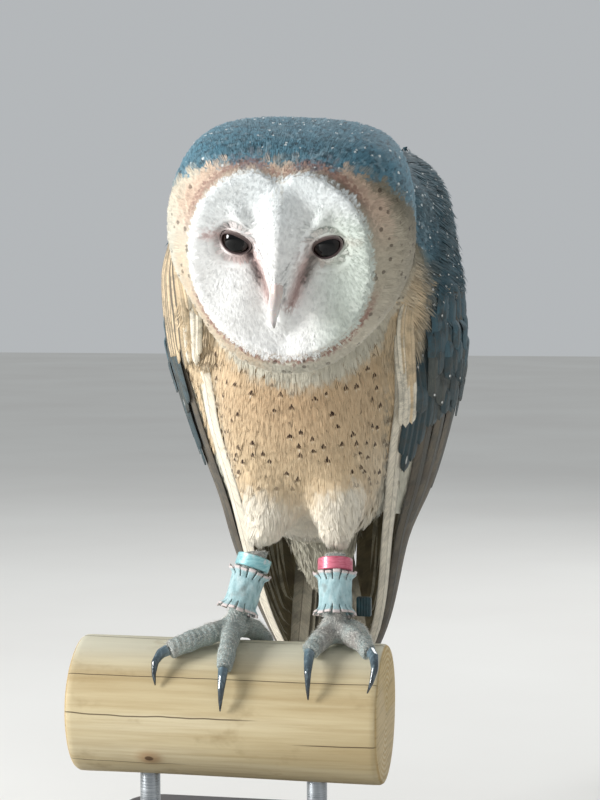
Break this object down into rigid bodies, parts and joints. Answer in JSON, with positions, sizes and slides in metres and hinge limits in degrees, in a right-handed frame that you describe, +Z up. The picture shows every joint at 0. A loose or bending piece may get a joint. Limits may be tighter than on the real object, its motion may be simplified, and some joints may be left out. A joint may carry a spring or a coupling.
{
  "type": "barn owl",
  "caption": "Life-size still barn owl, leaning forward as it grips a short length of round rail, held by a plain display stand.",
  "frame": {"origin": "centre of the display stand's underside, on the surface it stands on", "axes": "+Z up; the owl and the rail's front face -Y; +X is the owl's left"},
  "size_m": [0.176, 0.2119, 0.3342],
  "materials": {
    "bill_horn": "satin",
    "claw_horn": "polished",
    "cornea": "wet gloss",
    "hide": "napped",
    "leg_scale": "matte, scaly",
    "pine": "peeled, weathered",
    "plumage_barred": "smooth vanes, matte",
    "plumage_buff": "soft, matte",
    "plumage_cream": "soft, matte",
    "plumage_slate": "soft, matte",
    "plumage_white": "soft, matte",
    "ring_blue": "satin",
    "ring_red": "satin",
    "stand_steel": "brushed",
    "stand_wood": "dark stain, satin",
    "tag": "matte"
  },
  "bodies": {
    "root": {"perch_rail": "pine", "stand_rod_right": "stand_steel", "stand_rod_left": "stand_steel", "eye_right": "cornea", "eye_left": "cornea", "bill_upper": "bill_horn", "bill_lower": "bill_horn", "facial_disc": "plumage_white", "head": "plumage_slate", "trunk": "plumage_buff", "neck": "plumage_slate", "rump": "plumage_cream", "tail": "plumage_barred", "wing_right_arm": "plumage_slate", "wing_right_hand": "plumage_buff", "wing_right_secondaries": "plumage_barred", "wing_right_primaries": "plumage_barred", "wing_left_arm": "plumage_slate", "wing_left_hand": "plumage_buff", "wing_left_secondaries": "plumage_barred", "wing_left_primaries": "plumage_barred", "thigh_right": "plumage_cream", "shank_right": "leg_scale", "foot_right": "leg_scale", "ring_right": "ring_blue", "anklet_right": "hide", "toe_right_inner": "leg_scale", "claw_right_inner": "claw_horn", "toe_right_middle": "leg_scale", "claw_right_middle": "claw_horn", "toe_right_outer": "leg_scale", "claw_right_outer": "claw_horn", "toe_right_hind": "leg_scale", "claw_right_hind": "claw_horn", "thigh_left": "plumage_cream", "shank_left": "leg_scale", "foot_left": "leg_scale", "ring_left": "ring_red", "anklet_left": "hide", "toe_left_inner": "leg_scale", "claw_left_inner": "claw_horn", "toe_left_middle": "leg_scale", "claw_left_middle": "claw_horn", "toe_left_outer": "leg_scale", "claw_left_outer": "claw_horn", "toe_left_hind": "leg_scale", "claw_left_hind": "claw_horn", "anklet_left_tag": "tag", "stand_base": "stand_wood"}
  },
  "joints": []
}
